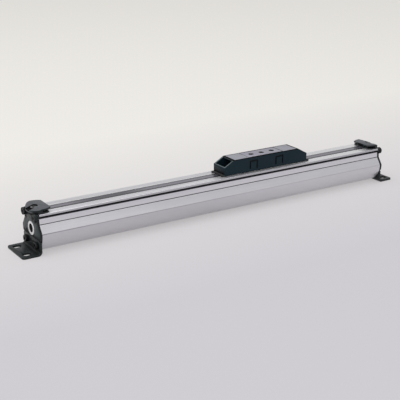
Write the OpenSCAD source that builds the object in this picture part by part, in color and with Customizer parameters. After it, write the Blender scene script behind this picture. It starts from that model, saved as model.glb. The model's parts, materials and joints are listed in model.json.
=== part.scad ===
// Band-sealed rodless pneumatic cylinder: slotted barrel, end caps with feet,
// and a carriage that is driven through the slot by a double-headed piston.
// X runs along the barrel, Z is up, and the origin is mid-barrel on the ground.

/* [Barrel] */
// Stroke of the carriage
stroke = 300; // [150:10:600]
// Barrel length beyond half the stroke at each end
end_allowance = 100; // [99:1:130]
// Bore diameter
bore_d = 32; // [31.4:0.2:32.6]
// Diameter of the round underside
body_d = 48.6; // [47.6:0.2:52]
// Gap between the underside of the barrel and the ground
floor_gap = 0.4; // [0.2:0.1:1.5]
// Height of the top face over the bore axis
top_rise = 22.5; // [22.2:0.1:24]
// Width across the top lips
top_w = 36.8; // [36:0.2:39]
// Height of the ridge over the bore axis
ridge_rise = 0.8; // [0.2:0.1:2.5]
// Height of the upper side faces
face_h = 7.2; // [5.5:0.1:8]
// Thickness of the top lips
lip_h = 2.4; // [2.2:0.1:3]
// Height of the accessory grooves
groove_h = 2.5; // [2:0.1:2.8]
// Depth of the accessory grooves
groove_d = 5.4; // [3:0.1:6]
// Width of the driving slot
slot_w = 8; // [7:0.1:8.6]

/* [Bands] */
// Width of the outer cover band
outer_band_w = 13.3; // [12.6:0.1:13.8]
// Thickness of the outer cover band
outer_band_t = 0.8; // [0.5:0.1:1]
// Width of the inner sealing band
inner_band_w = 11.8; // [11:0.1:12]
// Thickness of the inner sealing band
inner_band_t = 0.85; // [0.6:0.05:1]
// Lift of the outer band inside the carriage
outer_lift = 8; // [7.4:0.1:8.6]
// Dip of the inner band inside the piston yoke
inner_dip = 6; // [5.6:0.1:6.4]

/* [End caps] */
// Thickness of the cap flange
flange_t = 3.1; // [2.9:0.1:4]
// Depth of the cap plug in the bore
plug_l = 24; // [23:0.5:26]
// Height of the port over the bore axis
port_rise = 2.2; // [0:0.1:2.4]
// Diameter of the port ring
port_ring_d = 16.4; // [15:0.2:17]
// Core diameter of the G1/8 port thread
port_d = 8.8; // [8.2:0.1:9.4]
// Thickness of the end bumpers
bumper_t = 2; // [1:0.1:2.5]

/* [Feet] */
// Width of the foot
foot_w = 46.6; // [44:0.2:48]
// Plate thickness of the foot
foot_t = 2.5; // [2:0.1:2.8]
// Height of the foot's upright plate
foot_h = 17.5; // [16.4:0.1:18.5]
// Reach of the foot past the cap face
foot_reach = 21.3; // [19:0.1:28]
// Spacing of the two slots across the foot
foot_slot_pitch = 28.4; // [24:0.2:31]
// Width of the slots
foot_slot_w = 7.4; // [5.5:0.1:8]
// Length of the slots
foot_slot_l = 10; // [8.5:0.1:11]

/* [Band clamps] */
// Height of the clamp over the barrel
clamp_h = 5.8; // [5.4:0.1:7]
// Length of the clamp over the barrel
clamp_l = 16; // [15.5:0.1:20]
// Thickness of the clamp's upper plate
clamp_plate_t = 2; // [1.4:0.1:2.2]
// Diameter of the clamp's lugs
lug_d = 8.8; // [8.4:0.1:9.6]

/* [Carriage] */
// Place of the carriage along the barrel
carriage_x = 65.7; // [-100:0.1:100]
// Length of the carriage cover
cover_l = 129.2; // [127:0.2:134]
// Width of the carriage cover
cover_w = 24.8; // [24.2:0.2:28]
// Height of the carriage cover over the barrel
cover_h = 19.2; // [18.8:0.1:22]
// Height of the upright part of the cover's ends
cover_end_h = 11.2; // [10:0.1:12]
// Length of the cover's end slopes
cover_slope_l = 14.4; // [12:0.2:15]
// Wall thickness of the cover
cover_wall = 1.3; // [1:0.05:1.6]
// Length of the yoke's open top face
yoke_top_l = 52.6; // [48:0.2:56]
// Spacing of the three fixing holes
hole_pitch = 16; // [14:0.5:19]
// Core diameter of the M6 fixing holes
hole_d = 5; // [4.2:0.1:5.6]

/* [Hidden] */
$fn = 64;

// Fits and clearances
run_fit = 0.05;      // a sliding ring in the bore
seat_fit = 0.03;     // a screw or insert in its hole
slide_gap = 0.3;     // between the carriage and the fixed pieces
eps = 0.01;          // overlap that fuses two shapes of one piece

// Barrel section
barrel_l = stroke + 2 * end_allowance;
half_l = barrel_l / 2;
bore_r = bore_d / 2;
body_r = body_d / 2;
axis_z = floor_gap + body_r;
top_z = axis_z + top_rise;
ridge_y = sqrt(body_r * body_r - ridge_rise * ridge_rise);
groove_top_z = top_z - lip_h;
groove_low_z = groove_top_z - groove_h;
face_top_y = top_w / 2 - 1.4;
face_low_y = top_w / 2 - 0.7;
face_low_z = groove_low_z - face_h;
flank_slope = (face_low_z - axis_z - ridge_rise) / (ridge_y - face_low_y);
scribe = 0.8;        // size of the scribed line under each side face

// Bands
band_recess_d = outer_band_t + 0.1;
recess_z = top_z - band_recess_d;
inner_band_r = bore_r + run_fit;
inner_groove_r = inner_band_r + inner_band_t + run_fit;
band_inset = 0.5;    // from the barrel's end to the ends of the bands
outer_flat = 24;     // half length of the lifted stretch of the outer band
outer_run = 56;      // from the carriage's centre to where the outer band is seated
inner_flat = 22;     // half length of the dipped stretch of the inner band
inner_run = 44;      // from the carriage's centre to where the inner band is seated

// End caps
cap_face_x = half_l + flange_t;
plug_r = bore_r - run_fit;
plug_x = half_l - plug_l;
port_z = axis_z + port_rise;
insert_l = 9.6;
insert_r = 6.6;
ring_proud = 0.3;
cushion_r = 7.2;
cushion_l = 15.5;
spear_r = 6;
cap_seal_x = half_l - 12;
cap_seal_section = 2.1;
cushion_seal_w = 3;
needle_y = -11.5;    // the caps are one part, turned about Z for the other end
needle_z = axis_z - 3.8;
needle_r = 2.5;
needle_l = 9.6;
cap_screw_y = 13.9;
cap_screw_z = axis_z + 12.9;
cap_screw_r = 2;
cap_screw_head = 1.35;   // how far the countersunk head reaches past the shank
cap_screw_grip = 10;     // length of thread in the barrel
rib_l = 14;

// Feet
foot_back_x = cap_face_x - foot_t;
foot_bend_r = 2 * foot_t;
foot_end_x = cap_face_x + foot_reach;
foot_slot_x = cap_face_x + foot_reach - foot_slot_l / 2 - 3.4;
foot_screw_y = (bore_r + body_r) / 2 * sin(45);
foot_screw_z = axis_z - foot_screw_y;
foot_screw_r = 2.5;
foot_screw_grip = 14;    // length of thread in the barrel
foot_screw_head_r = 4.2;
foot_screw_head_l = 3.2;
foot_screw_socket_r = 2.3;

// Band clamps
jaw_t = 1.5;
jaw_inset = 2.5;     // the lower jaw starts this far behind the upper plate's edge
clamp_corner_r = 17.6;
clamp_corner_x = half_l - 4.5;
clamp_front_r = 24;
clamp_block_from = 4.7;
clamp_slope_from = 3.6;  // the top falls outwards from this far inside the barrel's end
clamp_fall = 3.3;
strut_t = 2.8;
strut_inset = 0.5;
strut_w = outer_band_w - 1.3;
jaw_window_l = 6.4;
jaw_window_w = 7.4;
jaw_window_x = half_l - clamp_l + 4.4;
jaw_window_y = 7;
clamp_top_z = top_z + clamp_h;
clamp_over = 7;      // reach of the clamp past the end of the barrel
clamp_screw_x = half_l - 1;
clamp_screw_r = 2;
clamp_screw_grip = 12.5;
clamp_head_r = 3.5;
clamp_head_l = 2.6;
clamp_socket_r = 1.7;
notch_r = 5;
lug_y = 15;
lug_z = top_z - 3.9;
lug_x = cap_face_x + run_fit;
lug_l = 3.4;          // length of the lugs
lug_seat = 1.2;       // the lug screw's head sits this far from the lug's back
lug_head_l = 1.9;
lug_hole_x = half_l + 0.4;   // bottom of the lug screw's hole in the cap
lug_grip = lug_x + lug_seat - lug_hole_x - 0.2;

// Carriage
cover_low_z = top_z + 0.4;
cover_top_z = top_z + cover_h;
cover_in_w = cover_w - 2 * cover_wall;
crest_rim = 1.8;     // rim of the cover between the top plates and the slopes
slope_angle = atan((cover_h - cover_end_h) / cover_slope_l);
slope_size = (cover_h - cover_end_h) / sin(slope_angle);
plate_t = 1.8;
plate_low_z = cover_top_z - plate_t;
yoke_w = cover_w - 4;
yoke_half_l = 30;
yoke_bridge_l = 2 * inner_flat;
// Where the outer band has risen enough for the ramp to carry it
band_ramp_end = outer_run - 0.43 * (outer_run - outer_flat);
yoke_low_z = top_z + 1.4;
neck_w = slot_w - 0.6;
outer_tunnel_w = outer_band_w + 1.1;
outer_tunnel_low_z = recess_z + outer_lift - 0.7;
outer_tunnel_h = outer_band_t + 1.6;
inner_tunnel_w = inner_band_w + 1;
inner_edge_rise = sqrt(pow(inner_band_r, 2) - pow(inner_band_w / 2, 2));
inner_tunnel_low_z = axis_z + inner_edge_rise - inner_dip - 0.5;
inner_tunnel_top_z = axis_z + inner_band_r + inner_band_t - inner_dip + 0.5;
yoke_body_r = bore_r - 0.6;
piston_r = bore_r - 0.5;
piston_in = 42;
piston_out = end_allowance - plug_l - bumper_t - 0.5;
spear_l = 13;
spear_tip_l = 2;
spear_tip_in = 0.8;   // how much the spear's tip tapers in
wear_from = piston_in + 2.5;
wear_w = 8;
magnet_from = wear_from + wear_w + 1.5;
magnet_w = 5;
seal_w = 4.5;
seal_from = piston_out - 6 - seal_w;
bolt_r = 2.5;
bolt_head_r = 4.2;
bolt_head_l = 5;
bolt_socket_r = 2.3;
bolt_seat = spear_l - bolt_head_l - 0.4;
bolt_grip = 12;       // length of thread in the yoke
wiper_t = 1.9;
wiper_low_z = top_z + 0.1;
wiper_from = cover_l / 2 - 6.6;
wiper_prong_l = 1.4;  // the lip is cut back between its two prongs
wiper_prong_w = 3;
holder_l = 6;
holder_w = 18;
holder_h = 4.5;
wiper_out = 3.6;     // reach of the wiper past the cover
strip_w = 2.9;
clip_w = 12.4;
clip_h = 11;
clip_slit = 1.8;
clip_x = 20.1;
seam = 0.7;          // between the yoke's top face and the top plates
hole_depth = 9;
hole_mouth = 1.1;    // chamfer at the mouth of the fixing holes
ledge_w = 1.4;       // shelves that carry the top plates
ledge_h = 1.8;
catch_w = 6;
catch_h = 2.2;

// Smooth step from 0 to 1
function blend(t) = let(c = max(0, min(1, t))) c * c * (3 - 2 * c);
function outer_rise(x) = outer_lift * blend((outer_run - abs(x - carriage_x)) / (outer_run - outer_flat));
function inner_drop(x) = inner_dip * blend((inner_run - abs(x - carriage_x)) / (inner_run - inner_flat));
function ramp_places(near, far, steps) =
    concat([for (i = [0 : steps]) carriage_x - far + (far - near) * i / steps],
           [for (i = [0 : steps]) carriage_x + near + (far - near) * i / steps]);

// Extrudes an outline drawn in Y and Z along +X, from x = 0
module along_x(length) rotate([90, 0, 90]) linear_extrude(length) children();

// Extrudes an outline drawn in X and Z along Y, centred on y = 0
module across_y(width) rotate([90, 0, 0]) linear_extrude(width, center = true) children();

// A cylinder along +X from x = 0
module rod(radius, length) rotate([0, 90, 0]) cylinder(r = radius, h = length);

// A ring along +X from x = 0
module ring(outer, inner, length) difference() {
    rod(outer, length);
    translate([-1, 0, 0]) rod(inner, length + 2);
}

// A socket-head screw along -X: the head stands from x = 0 to x = head_l
module socket_screw(shank_r, shank_l, head_r, head_l, socket_r) difference() {
    union() {
        translate([-shank_l, 0, 0]) rod(shank_r, shank_l + eps);
        rod(head_r, head_l);
    }
    translate([head_l * 0.4, 0, 0]) rotate([0, 90, 0]) cylinder(r = socket_r, h = head_l, $fn = 6);
}

// Places a right-hand piece, or the same piece turned to the left end
module right_end() children();
module left_end() rotate([0, 0, 180]) children();
module carriage_right() translate([carriage_x, 0, 0]) children();
module carriage_left() translate([carriage_x, 0, 0]) rotate([0, 0, 180]) children();
module both_sides() for (side = [0, 1]) mirror([0, side, 0]) children();

// ---- Barrel and bands ----

module half_flank_cut() polygon([
    [ridge_y + 1, axis_z + ridge_rise - flank_slope], [face_low_y, face_low_z], [face_top_y, groove_low_z],
    [top_w, groove_low_z], [top_w, axis_z + ridge_rise - flank_slope]]);

module body_outline() difference() {
    union() {
        intersection() {
            translate([0, axis_z]) circle(r = body_r, $fn = 96);
            translate([-body_r - 1, -1]) square([2 * body_r + 2, axis_z + top_rise / 2 + 1]);
        }
        polygon([[-top_w / 2, axis_z], [top_w / 2, axis_z], [top_w / 2, top_z - 0.5],
                 [top_w / 2 - 0.5, top_z], [0.5 - top_w / 2, top_z], [-top_w / 2, top_z - 0.5]]);
    }
    half_flank_cut();
    mirror([1, 0]) half_flank_cut();
}

module half_barrel_cuts() {
    translate([top_w / 2 - groove_d, groove_low_z]) square([groove_d + 1, groove_h]);
    polygon([[face_low_y - scribe, face_low_z], [face_low_y + 1, face_low_z + scribe / 2 + 0.3],
             [face_low_y + 1, face_low_z - scribe / 2 - 0.3]]);
}

module barrel_section() difference() {
    body_outline();
    translate([0, axis_z]) circle(r = bore_r, $fn = 96);
    intersection() {
        translate([0, axis_z]) circle(r = inner_groove_r, $fn = 96);
        translate([-inner_band_w / 2 - 0.1, axis_z]) square([inner_band_w + 0.2, top_rise]);
    }
    translate([-slot_w / 2, axis_z]) square([slot_w, top_rise + 1]);
    translate([-outer_band_w / 2 - 0.1, recess_z]) square([outer_band_w + 0.2, band_recess_d + 1]);
    half_barrel_cuts();
    mirror([1, 0]) half_barrel_cuts();
}

module end_screw_holes() both_sides() {
    translate([half_l - foot_screw_grip - 2, foot_screw_y, foot_screw_z])
        rod(foot_screw_r + seat_fit, foot_screw_grip + 3);
    translate([half_l - cap_screw_grip - 2, cap_screw_y, cap_screw_z])
        rod(cap_screw_r + seat_fit, cap_screw_grip + 3);
}

module barrel() color([0.8, 0.8, 0.83]) difference() {
    translate([-half_l, 0, 0]) along_x(barrel_l) barrel_section();
    right_end() end_screw_holes();
    left_end() end_screw_holes();
}

outer_places = concat([-half_l + band_inset], ramp_places(outer_flat, outer_run, 10), [half_l - band_inset]);

module outer_band() color([0.42, 0.41, 0.44]) difference() {
    across_y(outer_band_w) polygon(concat(
        [for (x = outer_places) [x, recess_z + outer_rise(x)]],
        [for (i = [len(outer_places) - 1 : -1 : 0])
            [outer_places[i], recess_z + outer_rise(outer_places[i]) + outer_band_t]]));
    for (side = [-1, 1]) translate([side * clamp_screw_x, 0, recess_z - 1])
        cylinder(r = clamp_screw_r + 0.3, h = 4);
}

inner_end = clamp_screw_x - clamp_screw_r - 0.5;
inner_places = concat([-inner_end], ramp_places(inner_flat, inner_run, 8), [inner_end]);
inner_steps = 8;
inner_angle = asin(inner_band_w / 2 / (inner_band_r + inner_band_t));
inner_section = concat(
    [for (i = [0 : inner_steps]) let(a = -inner_angle + 2 * inner_angle * i / inner_steps)
        (inner_band_r + inner_band_t) * [sin(a), cos(a)]],
    [for (i = [inner_steps : -1 : 0]) let(a = -inner_angle + 2 * inner_angle * i / inner_steps)
        inner_band_r * [sin(a), cos(a)]]);

module inner_band() color([0.75, 0.72, 0.66]) {
    n = len(inner_section);
    last = len(inner_places) - 1;
    polyhedron(
        points = [for (x = inner_places) for (p = inner_section) [x, p[0], axis_z + p[1] - inner_drop(x)]],
        faces = concat(
            [[for (i = [0 : n - 1]) i]],
            [[for (i = [n - 1 : -1 : 0]) last * n + i]],
            [for (k = [0 : last - 1]) for (i = [0 : n - 1])
                [k * n + i, (k + 1) * n + i, (k + 1) * n + (i + 1) % n, k * n + (i + 1) % n]]));
}

// ---- End caps ----

module end_cap() color([0.16, 0.18, 0.19]) difference() {
    union() {
        translate([half_l, 0, 0]) along_x(flange_t) difference() {
            body_outline();
            translate([-body_r - 1, -1]) square([2 * body_r + 2, floor_gap + 1.1]);
        }
        translate([plug_x, 0, axis_z]) rod(plug_r, plug_l + eps);
        translate([half_l - rib_l, 0.1 - slot_w / 2, axis_z + inner_groove_r + 0.1])
            cube([rib_l + eps, slot_w - 0.2, recess_z - axis_z - inner_groove_r - 0.15]);
    }
    // Seat of the foot's upright plate
    translate([foot_back_x - seat_fit, -body_r - 1, -1]) cube([flange_t, 2 * body_r + 2, foot_h + 1.1]);
    // Port insert, air way and cushion chamber
    translate([cap_face_x + ring_proud - insert_l - seat_fit, 0, port_z])
        rod(insert_r + seat_fit, insert_l + 1);
    translate([cap_face_x - 0.5, 0, port_z]) rod(port_ring_d / 2 + seat_fit, 1);
    translate([plug_x + cushion_l - 1, 0, port_z]) rod(3, insert_l);
    translate([plug_x - 1, 0, axis_z]) rod(cushion_r, cushion_l + 1);
    translate([plug_x + 2, 0, axis_z]) rod(cushion_r + 1.6, cushion_seal_w + 2 * seat_fit);
    // Groove of the cap seal
    translate([cap_seal_x, 0, axis_z])
        ring(plug_r + 1, plug_r - cap_seal_section + 0.1, cap_seal_section + 0.3);
    // Cushion needle, with its drilling to the chamber
    translate([cap_face_x - 0.4 - needle_l, needle_y, needle_z]) rod(needle_r + run_fit, needle_l + 2);
    // Screws
    both_sides() {
        translate([half_l - 1, cap_screw_y, cap_screw_z]) rod(cap_screw_r + 0.2, flange_t + 2);
        translate([cap_face_x - 2.2, cap_screw_y, cap_screw_z]) rotate([0, 90, 0])
            cylinder(r1 = cap_screw_r, r2 = cap_screw_r + cap_screw_head + 0.1, h = 2.21);
        translate([half_l - 1, foot_screw_y, foot_screw_z]) rod(foot_screw_r + 0.2, flange_t + 2);
        translate([lug_hole_x, lug_y, lug_z]) rod(clamp_screw_r + seat_fit, flange_t + 1);
    }
    translate([clamp_screw_x, 0, axis_z + 9]) cylinder(r = clamp_screw_r + seat_fit, h = top_rise);
}
module end_cap_right() right_end() end_cap();
module end_cap_left() left_end() end_cap();

module cap_screws() color("dimgray") both_sides()
    translate([cap_face_x, cap_screw_y, cap_screw_z]) difference() {
        union() {
            translate([-flange_t - cap_screw_grip, 0, 0]) rod(cap_screw_r, flange_t + cap_screw_grip - 1);
            translate([-2.25, 0, 0]) rotate([0, 90, 0])
                cylinder(r1 = cap_screw_r - 0.1, r2 = cap_screw_r + cap_screw_head, h = 2.2);
        }
        translate([-1.6, 0, 0]) rotate([0, 90, 0]) cylinder(r = 1.4, h = 3, $fn = 6);
    }
module cap_screws_right() right_end() cap_screws();
module cap_screws_left() left_end() cap_screws();

module cap_seal() color([0.1, 0.1, 0.1])
    translate([cap_seal_x + cap_seal_section / 2 + 0.15, 0, axis_z]) rotate([0, 90, 0])
        rotate_extrude() translate([plug_r - cap_seal_section / 2 + 0.08, 0])
            circle(r = cap_seal_section / 2 - run_fit, $fn = 32);
module cap_seal_right() right_end() cap_seal();
module cap_seal_left() left_end() cap_seal();

module cushion_seal() color([0.12, 0.3, 0.2])
    translate([plug_x + 2 + seat_fit, 0, axis_z]) difference() {
        rod(cushion_r + 1.55, cushion_seal_w);
        translate([-1, 0, 0]) rod(spear_r + 0.1, cushion_seal_w + 2);
        translate([-eps, 0, 0]) rotate([0, 90, 0]) cylinder(r1 = spear_r + 0.9, r2 = spear_r + 0.1, h = 1);
    }
module cushion_seal_right() right_end() cushion_seal();
module cushion_seal_left() left_end() cushion_seal();

module bumper() color([0.15, 0.15, 0.16])
    translate([plug_x - bumper_t, 0, axis_z]) ring(bore_r - 0.8, cushion_r + 1.2, bumper_t);
module bumper_right() right_end() bumper();
module bumper_left() left_end() bumper();

module port_ring() color([0.9, 0.9, 0.91]) translate([cap_face_x + ring_proud, 0, port_z]) difference() {
    union() {
        translate([-insert_l, 0, 0]) rod(insert_r, insert_l);
        translate([-0.5 - ring_proud, 0, 0]) rod(port_ring_d / 2, 0.5 + ring_proud);
    }
    translate([-insert_l - 1, 0, 0]) rod(port_d / 2, insert_l + 2);
    translate([-0.9, 0, 0]) rotate([0, 90, 0]) cylinder(r1 = port_d / 2, r2 = port_d / 2 + 0.91, h = 0.91);
}
module port_ring_right() right_end() port_ring();
module port_ring_left() left_end() port_ring();

module cushion_needle() color([0.78, 0.66, 0.36])
    translate([cap_face_x - 0.4, needle_y, needle_z]) difference() {
        union() {
            translate([-needle_l + 3, 0, 0]) rod(needle_r, needle_l - 3);
            translate([-needle_l + 0.2, 0, 0]) rotate([0, 90, 0]) cylinder(r1 = 0.6, r2 = needle_r, h = 2.81);
        }
        translate([-1, -0.4, -needle_r - 1]) cube([2, 0.8, 2 * needle_r + 2]);
    }
module cushion_needle_right() right_end() cushion_needle();
module cushion_needle_left() left_end() cushion_needle();

// ---- Feet ----

module foot_bend() translate([foot_back_x + foot_bend_r, 0, foot_bend_r]) intersection() {
    rotate([90, 0, 0]) difference() {
        cylinder(r = foot_bend_r, h = foot_w, center = true);
        cylinder(r = foot_bend_r - foot_t, h = foot_w + 2, center = true);
    }
    translate([-foot_bend_r - 1, -foot_w, -foot_bend_r - 1])
        cube([foot_bend_r + 1, 2 * foot_w, foot_bend_r + 1]);
}

module foot_flange() linear_extrude(foot_t) {
    corner = 3.5;
    from = foot_back_x + foot_bend_r;
    translate([from - eps, -foot_w / 2]) square([foot_end_x - from - corner + 2 * eps, foot_w]);
    translate([from, -foot_w / 2 + corner]) square([foot_end_x - from, foot_w - 2 * corner]);
    for (side = [-1, 1]) translate([foot_end_x - corner, side * (foot_w / 2 - corner)]) circle(r = corner);
}

module foot() color([0.17, 0.18, 0.19]) difference() {
    union() {
        foot_bend();
        foot_flange();
        translate([foot_back_x, 0, 0]) along_x(foot_t) polygon([
            [-foot_w / 2, foot_bend_r - eps], [foot_w / 2, foot_bend_r - eps],
            [foot_w / 2, foot_h - 2], [foot_w / 2 - 2, foot_h],
            [2 - foot_w / 2, foot_h], [-foot_w / 2, foot_h - 2]]);
    }
    for (side = [-1, 1]) {
        translate([foot_back_x - 1, side * foot_screw_y, foot_screw_z])
            rod(foot_screw_r + 0.2, foot_t + 2);
        translate([foot_slot_x, side * foot_slot_pitch / 2, -1]) {
            reach = (foot_slot_l - foot_slot_w) / 2;
            for (end = [-1, 1]) translate([end * reach, 0, 0]) cylinder(d = foot_slot_w, h = foot_t + 2);
            translate([-reach, -foot_slot_w / 2, 0]) cube([2 * reach, foot_slot_w, foot_t + 2]);
        }
    }
}
module foot_right() right_end() foot();
module foot_left() left_end() foot();

module foot_screws() color("dimgray") for (side = [-1, 1])
    translate([cap_face_x, side * foot_screw_y, foot_screw_z])
        socket_screw(foot_screw_r, flange_t + foot_screw_grip,
                     foot_screw_head_r, foot_screw_head_l, foot_screw_socket_r);
module foot_screws_right() right_end() foot_screws();
module foot_screws_left() left_end() foot_screws();

// ---- Band clamps ----

module clamp_plan() intersection() {
    translate([clamp_corner_x, 0]) circle(r = clamp_corner_r);
    translate([half_l + clamp_over - clamp_front_r, 0]) circle(r = clamp_front_r, $fn = 96);
    translate([half_l - clamp_l, -body_r]) square([clamp_l + clamp_over, body_d]);
}

module clamp_slab(low, high) translate([0, 0, low]) linear_extrude(high - low) clamp_plan();

module band_clamp() color([0.18, 0.19, 0.2]) difference() {
    union() {
        clamp_slab(clamp_top_z - clamp_plate_t, clamp_top_z);
        // Lower jaw on the barrel's top face
        intersection() {
            clamp_slab(top_z, top_z + jaw_t);
            translate([half_l - clamp_l + jaw_inset, -body_r, 0])
                cube([clamp_l + clamp_over, body_d, 2 * top_z]);
        }
        // Block over the cap
        intersection() {
            clamp_slab(top_z, clamp_top_z - eps);
            translate([half_l - clamp_block_from, -body_r, 0])
                cube([clamp_l + clamp_over, body_d, 2 * top_z]);
        }
        // Strut that holds the outer band down
        translate([half_l - clamp_l + strut_inset, -strut_w / 2, top_z])
            cube([strut_t, strut_w, clamp_h - clamp_plate_t + eps]);
        // Lugs over the cap's face
        both_sides() {
            translate([lug_x, lug_y, lug_z]) rod(lug_d / 2, lug_l);
            intersection() {
                translate([lug_x, lug_y - lug_d / 2, lug_z]) cube([lug_l, lug_d, top_z - lug_z + 1]);
                clamp_slab(lug_z - 1, top_z + 2);
            }
        }
    }
    // Fall of the top towards the outer end
    across_y(body_d) polygon([
        [half_l - clamp_slope_from, clamp_top_z], [half_l + clamp_over, clamp_top_z - clamp_fall],
        [half_l + clamp_over + 1, clamp_top_z - clamp_fall], [half_l + clamp_over + 1, clamp_top_z + 1],
        [half_l - clamp_slope_from, clamp_top_z + 1]]);
    // Screw hole and the notch above it
    translate([clamp_screw_x, 0, top_z - 1]) cylinder(r = clamp_screw_r + 0.2, h = clamp_h + 2);
    translate([clamp_screw_x, 0, top_z + jaw_t]) cylinder(r = notch_r, h = clamp_h);
    translate([clamp_screw_x, -notch_r, top_z + jaw_t]) cube([2 * clamp_over, 2 * notch_r, 2 * clamp_h]);
    // Windows in the lower jaw
    both_sides() translate([jaw_window_x, jaw_window_y, top_z - 1])
        cube([jaw_window_l, jaw_window_w, jaw_t + 1.5]);
    // Lug screws
    both_sides() translate([lug_x - 1, lug_y, lug_z]) {
        rod(clamp_screw_r + 0.2, 10);
        translate([1 + lug_seat, 0, 0]) rod(clamp_head_r + 0.1, 10);
    }
}
module band_clamp_right() right_end() band_clamp();
module band_clamp_left() left_end() band_clamp();

module clamp_screw() color("dimgray") translate([clamp_screw_x, 0, top_z + jaw_t]) rotate([0, -90, 0])
    socket_screw(clamp_screw_r, clamp_screw_grip, clamp_head_r, clamp_head_l, clamp_socket_r);
module clamp_screw_right() right_end() clamp_screw();
module clamp_screw_left() left_end() clamp_screw();

module lug_screws() color("dimgray") both_sides()
    translate([lug_x + lug_seat, lug_y, lug_z])
        socket_screw(clamp_screw_r, lug_grip, clamp_head_r, lug_head_l, clamp_socket_r);
module lug_screws_right() right_end() lug_screws();
module lug_screws_left() left_end() lug_screws();

// ---- Carriage: yoke and pistons ----

module yoke_channel() across_y(inner_tunnel_w) polygon([
    [inner_flat - eps, inner_tunnel_low_z - 0.2], [inner_flat + 6, inner_tunnel_low_z + 0.6],
    [piston_in + 1, inner_tunnel_low_z + 5.6], [piston_in + 1, axis_z + bore_r],
    [inner_flat - eps, axis_z + bore_r]]);

module yoke() color([0.72, 0.72, 0.75]) translate([carriage_x, 0, 0]) difference() {
    union() {
        // Body in the bore
        difference() {
            translate([-piston_in, 0, axis_z]) rod(yoke_body_r, 2 * piston_in);
            yoke_channel();
            rotate([0, 0, 180]) yoke_channel();
            translate([-inner_flat - 1, -inner_tunnel_w / 2, inner_tunnel_low_z])
                cube([2 * inner_flat + 2, inner_tunnel_w, inner_tunnel_top_z - inner_tunnel_low_z]);
        }
        // Neck through the slot
        translate([-inner_flat, -neck_w / 2, inner_tunnel_top_z])
            cube([yoke_bridge_l, neck_w, yoke_low_z + 1 - inner_tunnel_top_z]);
        // Head, with the tunnel of the outer band
        difference() {
            union() {
                translate([-yoke_half_l, -yoke_w / 2, yoke_low_z])
                    cube([2 * yoke_half_l, yoke_w, plate_low_z - yoke_low_z]);
                translate([-yoke_top_l / 2, -yoke_w / 2, yoke_low_z])
                    cube([yoke_top_l, yoke_w, cover_top_z - yoke_low_z]);
            }
            translate([-yoke_half_l - 1, -outer_tunnel_w / 2, outer_tunnel_low_z])
                cube([2 * yoke_half_l + 2, outer_tunnel_w, outer_tunnel_h]);
            for (from = [inner_flat, -yoke_half_l - 1]) translate([from, -outer_tunnel_w / 2, top_z])
                cube([yoke_half_l + 1 - inner_flat, outer_tunnel_w, outer_tunnel_low_z - top_z + eps]);
        }
    }
    // Fixing holes
    for (i = [-1 : 1]) translate([i * hole_pitch, 0, cover_top_z - hole_depth]) {
        cylinder(d = hole_d, h = hole_depth + 1);
        translate([0, 0, hole_depth - hole_mouth])
            cylinder(d1 = hole_d, d2 = hole_d + 2 * (hole_mouth + eps), h = hole_mouth + eps);
    }
    // Threads of the piston bolts
    for (turn = [0, 180]) rotate([0, 0, turn]) translate([piston_in - bolt_grip - 2, 0, axis_z])
        rod(bolt_r + seat_fit, bolt_grip + 3);
    // Pockets of the cover's clips
    for (x = [-clip_x, clip_x]) both_sides()
        translate([x - clip_w / 2, yoke_w / 2 - 1, cover_low_z + 5]) cube([clip_w, 2, 3]);
}

module piston() color([0.2, 0.2, 0.22]) translate([0, 0, axis_z]) difference() {
    translate([piston_in, 0, 0]) rod(piston_r, piston_out - piston_in);
    translate([wear_from, 0, 0]) ring(piston_r + 1, piston_r - 1.5, wear_w);
    translate([magnet_from, 0, 0]) ring(piston_r + 1, piston_r - 3, magnet_w);
    translate([seal_from, 0, 0]) ring(piston_r + 1, piston_r - 3.5, seal_w);
    translate([piston_in - 1, 0, 0]) rod(bolt_r + 0.1, piston_out);
}
module piston_right() carriage_right() piston();
module piston_left() carriage_left() piston();

module piston_seal() color([0.1, 0.12, 0.1])
    translate([seal_from + 0.05, 0, axis_z]) rotate([0, 90, 0]) rotate_extrude() {
        heel = piston_r - 3.45;
        lip = bore_r - run_fit;
        polygon([[heel, 0], [lip - 0.5, 0], [lip, 1.6], [lip, seal_w - 0.9], [lip - 0.5, seal_w - 0.1],
                 [lip - 1, seal_w - 0.1], [(heel + lip) / 2, 1.8],
                 [heel + 1, seal_w - 0.1], [heel, seal_w - 0.1]]);
    }
module piston_seal_right() carriage_right() piston_seal();
module piston_seal_left() carriage_left() piston_seal();

module wear_ring() color([0.55, 0.4, 0.2]) translate([wear_from + 0.1, 0, axis_z])
    ring(bore_r - 0.07, piston_r - 1.47, wear_w - 0.2);
module wear_ring_right() carriage_right() wear_ring();
module wear_ring_left() carriage_left() wear_ring();

module magnet() color([0.25, 0.25, 0.28]) translate([magnet_from + 0.1, 0, axis_z])
    ring(piston_r - 0.2, piston_r - 2.97, magnet_w - 0.2);
module magnet_right() carriage_right() magnet();
module magnet_left() carriage_left() magnet();

module cushion_spear() color([0.75, 0.75, 0.78]) translate([piston_out, 0, axis_z]) difference() {
    union() {
        rod(spear_r, spear_l - spear_tip_l);
        translate([spear_l - spear_tip_l - eps, 0, 0]) rotate([0, 90, 0])
            cylinder(r1 = spear_r, r2 = spear_r - spear_tip_in, h = spear_tip_l);
    }
    translate([-1, 0, 0]) rod(bolt_r + 0.1, spear_l + 2);
    translate([bolt_seat, 0, 0]) rod(bolt_head_r + 0.15, bolt_head_l + 1);
}
module cushion_spear_right() carriage_right() cushion_spear();
module cushion_spear_left() carriage_left() cushion_spear();

module piston_bolt() color("dimgray") translate([piston_out + bolt_seat, 0, axis_z])
    socket_screw(bolt_r, piston_out + bolt_seat - piston_in + bolt_grip,
                 bolt_head_r, bolt_head_l, bolt_socket_r);
module piston_bolt_right() carriage_right() piston_bolt();
module piston_bolt_left() carriage_left() piston_bolt();

// ---- Carriage: cover and its pieces ----

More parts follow.
